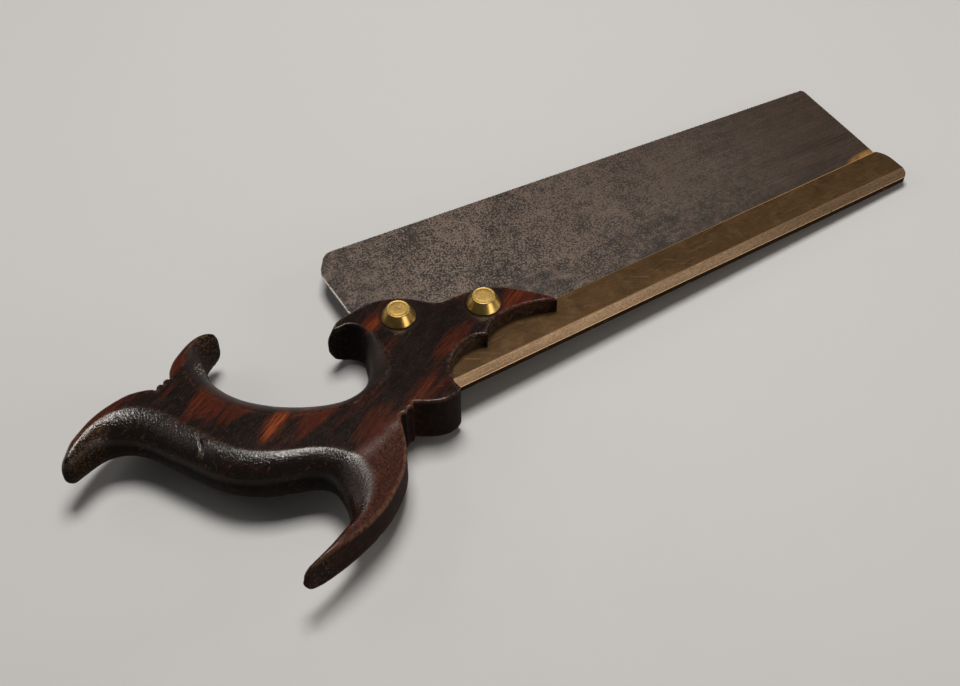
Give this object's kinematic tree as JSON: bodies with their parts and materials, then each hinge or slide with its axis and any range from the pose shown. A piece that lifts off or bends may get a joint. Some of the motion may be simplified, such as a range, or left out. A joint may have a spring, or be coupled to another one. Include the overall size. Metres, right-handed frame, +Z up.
{
  "type": "back saw",
  "caption": "Back saw: open dark hardwood handle with horns, canted steel plate with fine teeth, folded brass back, conical brass saw bolts and slotted nuts; for fine joinery cuts.",
  "frame": {"origin": "centre of the bounding box, on the plane that the lower cheek of the handle lies on", "axes": "+X along the back towards the toe, +Y across the plate towards the teeth, +Z up out of the upper face of the handle, with the saw lying on its side"},
  "size_m": [0.3836, 0.1424, 0.0268],
  "materials": {
    "handle_wood": "dark polished hardwood, worn",
    "plate_steel": "old steel with a mottled grey-brown patina",
    "back_brass": "dull satin brass, darkened",
    "bolt_brass": "worn bright brass",
    "nut_brass": "worn brass"
  },
  "bodies": {
    "root": {"handle": "handle_wood", "saw_plate": "plate_steel", "brass_back": "back_brass", "front_bolt": "bolt_brass", "rear_bolt": "bolt_brass", "front_nut": "nut_brass", "rear_nut": "nut_brass"}
  },
  "joints": []
}
